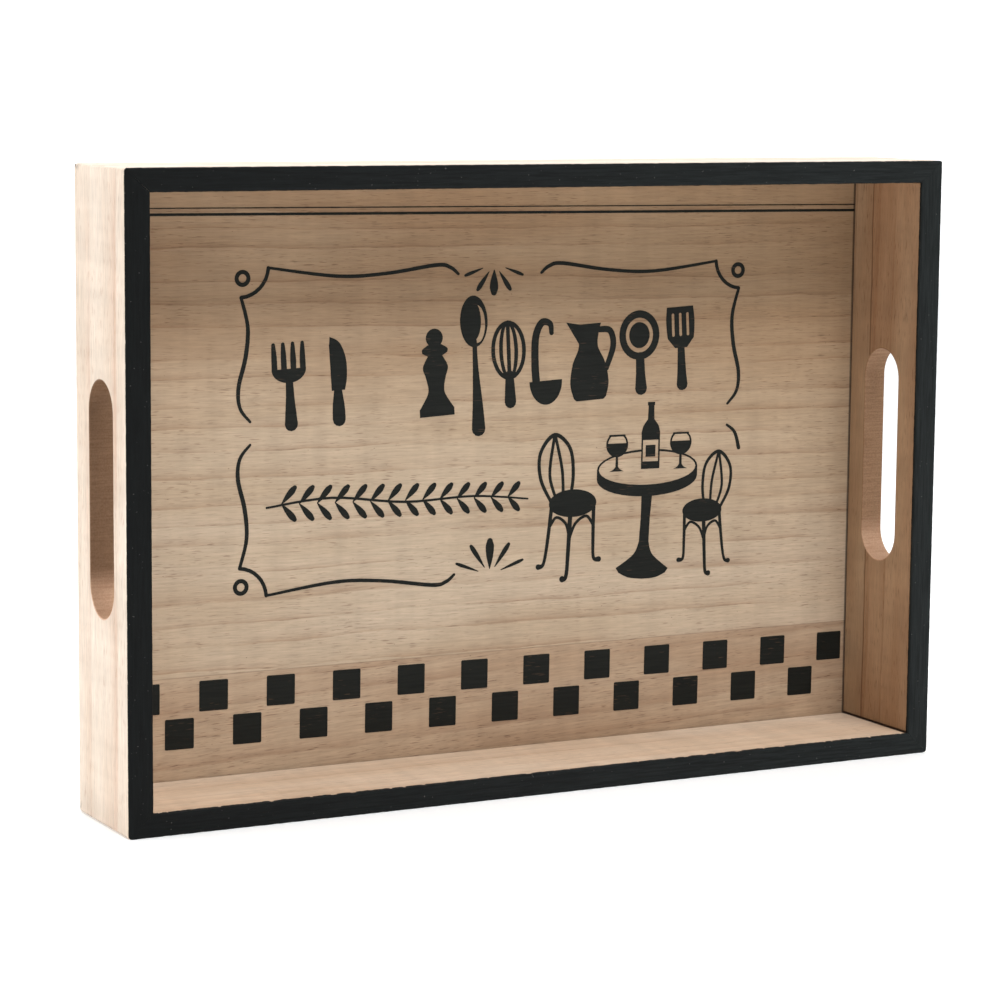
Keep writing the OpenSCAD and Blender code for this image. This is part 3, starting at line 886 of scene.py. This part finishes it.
def slot_loop(x, grow, steps=24):
    """Points of the slot's outline, grown outwards, on the plane at x."""
    radius = SLOT_W / 2 + grow
    run = (SLOT_LENGTH - SLOT_W) / 2
    points = []
    for end in (1, -1):
        for step in range(steps + 1):
            turn = math.pi * step / steps
            up = run + radius * math.sin(turn)
            points.append(Vector((x, end * radius * math.cos(turn), middle.z + end * up)))
    return points


def built_object(builder, name):
    """Turns a finished bmesh into an object."""
    mesh = bpy.data.meshes.new(name)
    builder.to_mesh(mesh)
    builder.free()
    return linked_object(name, mesh)


def skinned_rows(rows, name):
    """A closed solid over rows of points: a row of one is a tip, and other end rows get a lid."""
    builder = bmesh.new()
    loops = [[builder.verts.new(spot) for spot in row] for row in rows]
    for first, second in zip(loops, loops[1:]):
        for i in range(max(map(len, loops))):
            corners = ((first, i), (first, i + 1), (second, i + 1), (second, i))
            builder.faces.new(list(dict.fromkeys(loop[k % len(loop)] for loop, k in corners)))
    for lid in (loops[0], loops[-1]):
        if len(lid) > 1:
            builder.faces.new(lid)
    bmesh.ops.recalc_face_normals(builder, faces=builder.faces)
    return built_object(builder, name)


def slot_cutter(side):
    """The cutter for one end wall, with its rows listed from the outside of the tray inwards."""
    origin, _, inward, _, thickness, _ = SIDES[side]
    eases = [math.pi / 2 * (1 - step / 5) for step in range(6)]
    depths = [(-BEYOND, SLOT_EDGE_R)]
    depths += [(SLOT_EDGE_R * (1 - math.sin(e)), SLOT_EDGE_R * (1 - math.cos(e))) for e in eases]
    depths += [(thickness - depth, grow) for depth, grow in reversed(depths)]
    return skinned_rows([slot_loop(origin.x + inward.x * d, grow) for d, grow in depths], "slot_cutter")


def cut(board, cutter):
    """Takes the cutter out of the board and keeps the result as the board's own mesh."""
    modifier = board.modifiers.new("cut", "BOOLEAN")
    modifier.operation = "DIFFERENCE"
    modifier.solver = "MANIFOLD"
    modifier.object = cutter
    mesh = result_mesh(board)
    board.modifiers.remove(modifier)
    board.data = mesh
    bpy.data.objects.remove(cutter)


for node_name in ("end_wall_left", "end_wall_right"):
    cut(walls[node_name], slot_cutter(WALL_SIDES[node_name]))
    print(node_name, "with its slot:", len(walls[node_name].data.polygons), "faces")

# %% [markdown]
# ## Brads
#
# Two brads hold each mitre, from above or from below, and more of them hold the panel's edges. None is
# driven quite straight, so one brad is turned on a lathe and Geometry Nodes drives it in everywhere.
# The CAD model knows the places: every brad there is a separate solid, whose longest side is the way
# it was driven. That way is stored on a point as an attribute, the tree aligns a brad with it, and
# Random Value adds a small tilt and any amount of turn.
#
# Running the same tree with a shallow plug in place of the brad gives the pockets that the heads sink
# into, and Boolean takes them out of the wood.


# %% Solids of a CAD node
def solids_of(node_name):
    """The box of every separate solid in a CAD node, as (low, high) pairs."""
    builder = bmesh.new()
    builder.from_mesh(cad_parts[node_name].data)
    bmesh.ops.remove_doubles(builder, verts=builder.verts, dist=0.001 * MM)
    waiting = set(builder.verts)
    boxes = []
    while waiting:
        solid = set()
        edge = {waiting.pop()}
        while edge:
            vertex = edge.pop()
            solid.add(vertex)
            edge |= {e.other_vert(vertex) for e in vertex.link_edges} - solid
        waiting -= solid
        places = np.array([v.co for v in solid])
        boxes.append((Vector(places.min(axis=0)), Vector(places.max(axis=0))))
    builder.free()
    return sorted(boxes, key=lambda box: tuple(box[0]))


def drives_of(node_name):
    """The head, the direction and the length of every brad in a CAD node."""
    drives = []
    for low, high in solids_of(node_name):
        size = high - low
        axis = max(range(3), key=lambda a: size[a])
        way = Vector((0, 0, 0))
        way[axis] = math.copysign(1, (middle - low - size / 2)[axis])
        drives.append((low + size / 2 - way * size[axis] / 2, way, size[axis]))
    return drives


corner_drives = drives_of("corner_brads")
panel_drives = drives_of("panel_brads")
print(len(corner_drives), "corner brads and", len(panel_drives), "panel brads")

# %% Turned shapes
BRAD_HEAD_R = 1.0 * MM
BRAD_SHANK_R = 0.6 * MM
BRAD_HEAD_T = 0.5 * MM
SUNK = 0.12 * MM


def lathe(outline, name, steps=20):
    """A closed solid turned round Z from (radius, height) points that start and end on the axis."""
    turns = [2 * math.pi * step / steps for step in range(steps)]
    rows = [[(radius * math.cos(t), radius * math.sin(t), height) for t in (turns if radius else [0])]
            for radius, height in outline]
    return skinned_rows(rows, name)


def brad_shape(length):
    """A brad whose domed head starts just under the origin and whose point looks along +Z."""
    neck = SUNK + BRAD_HEAD_T
    return lathe([
        (0, SUNK), (0.55 * BRAD_HEAD_R, SUNK + 0.02 * MM), (0.88 * BRAD_HEAD_R, SUNK + 0.08 * MM),
        (BRAD_HEAD_R, SUNK + 0.2 * MM), (BRAD_HEAD_R, neck - 0.1 * MM), (BRAD_SHANK_R, neck),
        (BRAD_SHANK_R, length - 2 * MM), (0, length)], "brad")


def pocket_shape():
    """A plug a little wider than a head, which reaches out of the wood at one end."""
    wide = BRAD_HEAD_R + 0.1 * MM
    return lathe([(0, -1 * MM), (wide, -1 * MM), (wide, 0.35 * MM), (0, 0.35 * MM)], "pocket", steps=24)


# %% Brad tree
def stored(tree, name):
    """The vector that every point stores under a name."""
    return start(tree, "GeometryNodeInputNamedAttribute", {"Name": name}, data_type="FLOAT_VECTOR")


def brad_tree():
    tree, given = new_geometry_tree(
        "driven brads", Object=["Shape"], Float=["Tilt"], Int=["Seed"], Material=["Material"])
    aimed = put("FunctionNodeAlignRotationToVector", {"Vector": stored(tree, "drive")}, axis="Z")
    least = join(X=given["Tilt"] * -1.0)
    most = join(X=given["Tilt"], Z=2 * math.pi)
    spread_inputs = {"Min": least, "Max": most, "Seed": given["Seed"]}
    spread = put("FunctionNodeRandomValue", spread_inputs, data_type="FLOAT_VECTOR")
    turned_inputs = {"Rotation": aimed, "Rotate By": spread}
    turned = put("FunctionNodeRotateRotation", turned_inputs, rotation_space="LOCAL")
    shape = put("GeometryNodeObjectInfo", {"Object": given["Shape"]}, "Geometry")
    driven_inputs = {"Points": given["Geometry"], "Instance": shape, "Rotation": turned}
    return finish_geometry_tree(put("GeometryNodeInstanceOnPoints", driven_inputs), given["Material"])


BRADS = brad_tree()


def marked_points(places, attribute, vectors):
    """An object of loose points, each of which stores a vector."""
    points = bpy.data.meshes.new("points")
    points.from_pydata(places, [], [])
    points.attributes.new(attribute, "FLOAT_VECTOR", "POINT")
    for item, vector in zip(points.attributes[attribute].data, vectors):
        item.vector = vector
    return linked_object("points", points)


def drive_in(drives, shape, tilt_degrees, name):
    """Runs the brad tree on points at the heads and returns one mesh with a shape at each."""
    heads = marked_points([head for head, _, _ in drives], "drive", [way for _, way, _ in drives])
    values = {"Shape": shape, "Tilt": math.radians(tilt_degrees), "Seed": 3, "Material": STEEL}
    mesh = run_tree(heads, BRADS, values, name)
    bpy.data.objects.remove(shape)
    return mesh


# %% Drive the brads
TILT_DEGREES = 2.5
brads = {}
for node_name, drives in (("corner_brads", corner_drives), ("panel_brads", panel_drives)):
    mesh = drive_in(drives, brad_shape(drives[0][2]), TILT_DEGREES, node_name + "_steel")
    tidy_mesh(mesh)
    brads[node_name] = linked_object(node_name + "_steel", mesh)
    print(node_name, len(mesh.polygons), "faces")


def cut_pockets(board, drives):
    mesh = drive_in(drives, pocket_shape(), 0.0, "pockets")
    cut(board, linked_object("pockets", mesh))


for node_name in ("long_wall_lower", "long_wall_upper"):
    near_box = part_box(node_name)
    in_wall = [d for d in corner_drives if abs(d[0].z - (near_box[0].z + near_box[1].z) / 2) < LONG_WALL_T]
    cut_pockets(walls[node_name], in_wall)
    print(node_name, "has", len(in_wall), "pockets and", len(walls[node_name].data.polygons), "faces")

# %% [markdown]
# ## Panel
#
# The panel is a plain slab with its edges eased, because a saw-cut edge on a thin board is always
# broken with sandpaper. It is smaller than its rebate by half a millimetre all round, so that it can
# move with the weather.

# %% Panel
EASED = 0.25 * MM


def slab(low, high, eased, name):
    """A box between two corners with every edge bevelled."""
    builder = bmesh.new()
    place = Matrix.Translation((low + high) / 2) @ Matrix.Diagonal((*(high - low), 1.0))
    bmesh.ops.create_cube(builder, size=1.0, matrix=place)
    bmesh.ops.bevel(builder, geom=builder.edges, offset=eased, segments=2, profile=0.5, affect="EDGES")
    return built_object(builder, name)


panel = slab(panel_low, panel_high, EASED, "base_panel_board")
cut_pockets(panel, panel_drives)
tidy_mesh(panel.data)
print("panel:", len(panel.data.polygons), "faces")

# %% [markdown]
# ## Rim paint
#
# The paint is a film on the front edges, so its profile follows the wall's: full thickness on the flat,
# thinning to nothing round the outer edge, and lapping a little way down the inner face where the
# brush went over. Its hidden side lies just inside the wood. The wander then moves the end of that
# lap back and forth, and each side of the tray gets its own seed.

# %% Paint profile
PAINT_CRACK = 0.08 * MM
LAP = 0.7 * MM
LAP_T = 0.06 * MM
SOAK = 0.12 * MM
OUTER_END = 78.0


def round_edge(centre, side, start, end, radius, steps=6):
    """Points round an edge, from start to end in degrees away from the front; radius is a function."""
    points = []
    for step in range(steps + 1):
        turn = start + (end - start) * step / steps
        swing = math.radians(turn)
        reach = radius(turn)
        points.append((centre[0] + side * reach * math.sin(swing), centre[1] - reach * math.cos(swing)))
    return points


def paint_profile(thickness):
    edge = PAINT_T + RIM_R
    outer = (RIM_R, edge)
    inner = (thickness - RIM_R, edge)
    face = thickness + LAP_T
    soaked = thickness - SOAK
    lap = [(face, edge + LAP / 2), (face, edge + LAP), (thickness, edge + 1.2 * LAP), (soaked, edge + LAP)]
    return [
        *round_edge(outer, -1, OUTER_END, 0, lambda turn: RIM_R + PAINT_T * (1 - (turn / OUTER_END) ** 2)),
        *round_edge(inner, 1, 0, 90, lambda turn: RIM_R + PAINT_T - (PAINT_T - LAP_T) * (turn / 90) ** 2),
        *lap,
        *round_edge(inner, 1, 90, 0, lambda turn: RIM_R - SOAK),
        *round_edge(outer, -1, 0, OUTER_END - 8, lambda turn: RIM_R - SOAK)]


# %% Brush the paint
WANDER = {"left": 0.4 * MM, "right": 0.4 * MM, "lower": 1.0 * MM, "upper": 0.8 * MM}
paints = {}
for seed, (node_name, material) in enumerate(rim_paints.items(), start=1):
    side = node_name.removeprefix("rim_paint_")
    values = {"Stations": 501, "Skirt start": 0.45 * MM, "Wander": WANDER[side], "Wander size": 5.0 * MM,
              "Seed": float(seed), "Material": material}
    mesh = board_mesh(side, paint_profile(SIDES[side][4]), PAINT_CRACK, values, node_name + "_coat")
    paints[node_name] = linked_object(node_name + "_coat", mesh)
    print(node_name, len(mesh.polygons), "faces")

# %% [markdown]
# ## The print
#
# A print on bare wood is never as sharp as its drawing, because the ink creeps along the fibres. The
# squares all come from one rounded tile: Geometry Nodes places one at each square's centre, with the
# row's slight lean, and noise then shifts their outlines, further along the grain than across it. The
# CAD model supplies the centres and sizes, including the cut-off square at the wall.
#
# The drawn pieces keep their CAD shape. Each is copied, its outline is divided into short steps and
# shifted by the same kind of noise. Blender starts that noise from the clock, so it gets a seed first.

# %% Square tree
INK_R = 0.35 * MM
CREEP = 0.09 * MM
CREEP_ALONG = 1.6 * MM
CREEP_ACROSS = 0.6 * MM
TILE = 0.01


def square_tree():
    sizes = ["Ink thickness", "Lean", "Corner radius", "Creep", "Seed"]
    tree, given = new_geometry_tree("printed squares", Float=sizes, Material=["Material"])
    tile = start(tree, "GeometryNodeCurvePrimitiveQuadrilateral", {"Width": TILE, "Height": TILE})
    filleted_inputs = {"Curve": tile, "Radius": given["Corner radius"], "Count": 3}
    filleted = put("GeometryNodeFilletCurve", filleted_inputs, mode="POLY")
    outline = put("GeometryNodeResampleCurve", {"Curve": filleted, "Count": 96})
    height = put("GeometryNodeCurvePrimitiveLine", {"End": join(Z=given["Ink thickness"])})
    solid_inputs = {"Curve": height, "Profile Curve": outline, "Fill Caps": True}
    solid = put("GeometryNodeCurveToMesh", solid_inputs)
    placed = put("GeometryNodeInstanceOnPoints", {
        "Points": given["Geometry"], "Instance": solid, "Rotation": join(X=math.pi / 2, Y=given["Lean"]),
        "Scale": stored(tree, "size")})
    real = put("GeometryNodeRealizeInstances", {"Geometry": placed})

    spot = start(tree, "GeometryNodeInputPosition") / (CREEP_ALONG, 1.0, CREEP_ACROSS)
    flat = swings_at(spot, given["Seed"], 2.0) * (2.0, 0.0, 1.0)
    crept = put("GeometryNodeSetPosition", {"Geometry": real, "Offset": scaled(flat, given["Creep"])})
    return finish_geometry_tree(crept, given["Material"])


# %% Print the squares
square_boxes = solids_of("print_squares")
square_middles = [(low + high) / 2 for low, high in square_boxes]
row_step = square_middles[-2] - square_middles[-4]
lean = math.atan2(-row_step.z, row_step.x)
ink_back = square_boxes[0][1].y
ink_t = square_boxes[0][1].y - square_boxes[0][0].y
print(len(square_boxes), "squares that lean by", round(math.degrees(lean), 2), "degrees")

square_side = (square_boxes[-1][1].x - square_boxes[-1][0].x) / (math.cos(lean) + math.sin(lean))
square_widths = [min(square_side, high.x - low.x) for low, high in square_boxes]
square_points = marked_points(
    [(m.x, ink_back, m.z) for m in square_middles], "size",
    [(width / TILE, square_side / TILE, 1.0) for width in square_widths])
square_values = {"Ink thickness": ink_t, "Lean": lean, "Corner radius": INK_R, "Creep": CREEP, "Seed": 6.0,
                 "Material": INK}
square_mesh = run_tree(square_points, square_tree(), square_values, "print_squares_ink")
squares = linked_object("print_squares_ink", square_mesh)
tidy_mesh(squares.data)
print("squares:", len(squares.data.polygons), "faces")


# %% Print the drawing
STEP = 0.6 * MM
CREEP_SEED = 12
noise.seed_set(CREEP_SEED)


def divide_outline(builder):
    """Divides the edges round the drawing into steps, and leaves those between its faces alone."""
    outline = [e for e in builder.edges if len(e.link_faces) == 1]
    wanted = {}
    for edge in outline:
        wanted.setdefault(math.ceil(edge.calc_length() / STEP), []).append(edge)
    for pieces, edges in sorted(wanted.items()):
        if pieces > 1:
            bmesh.ops.subdivide_edges(builder, edges=edges, cuts=pieces - 1)


def crept_copy(node_name, seed):
    """A printed CAD node's front faces, with the outline uneven by some hundredths of a mm, thickened."""
    builder = bmesh.new()
    builder.from_mesh(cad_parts[node_name].data)
    behind = [f for f in builder.faces if f.normal.y > -0.9]
    bmesh.ops.delete(builder, geom=behind, context="FACES")
    bmesh.ops.remove_doubles(builder, verts=builder.verts, dist=0.001 * MM)
    divide_outline(builder)
    for vertex in builder.verts:
        shift = noise.noise_vector(Vector((vertex.co.x / CREEP_ALONG, seed, vertex.co.z / CREEP_ACROSS)))
        vertex.co.x += shift.x * CREEP
        vertex.co.z += shift.z * CREEP / 2
    raised = bmesh.ops.extrude_face_region(builder, geom=builder.faces[:])["geom"]
    for vertex in (item for item in raised if isinstance(item, bmesh.types.BMVert)):
        vertex.co.y = ink_back
    piece = built_object(builder, node_name + "_ink")
    tidy_mesh(piece.data)
    return piece


drawn = sorted(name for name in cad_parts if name.startswith("print_") and name != "print_squares")
prints = {name: crept_copy(name, seed * 7.0) for seed, name in enumerate(drawn)}
prints["print_squares"] = squares
print("drawn pieces:", {name: len(piece.data.polygons) for name, piece in prints.items()})

# %% [markdown]
# ## Into the frame
#
# Every piece now stands where its CAD node stands. It takes over from that node, is given its material,
# and rides with the one body. Weighted normals let the large flat faces win over the small arcs beside
# them, so the boards shade flat right up to their edges.


# %% Attach the pieces
def attach(piece, node_name, material):
    piece.data.materials.clear()
    piece.data.materials.append(material)
    flat_faces = piece.modifiers.new("flat faces", "WEIGHTED_NORMAL")
    flat_faces.keep_sharp = True
    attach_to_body(piece, "root")
    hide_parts(node_name)


for node_name, wall in walls.items():
    tidy_mesh(wall.data)
    attach(wall, node_name, wall_materials[node_name])
for node_name, paint in paints.items():
    attach(paint, node_name, rim_paints[node_name])
for node_name, piece in prints.items():
    attach(piece, node_name, INK)
for node_name, piece in brads.items():
    attach(piece, node_name, STEEL)
attach(panel, "base_panel", PANEL_WOOD)

# %% How far the visual model reaches beyond the CAD box
seen_low, seen_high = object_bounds()
beyond = max(*(cad_low - seen_low), *(seen_high - cad_high)) / MM
print("visual model reaches beyond the CAD box by", round(max(beyond, 0.0), 4), "mm")
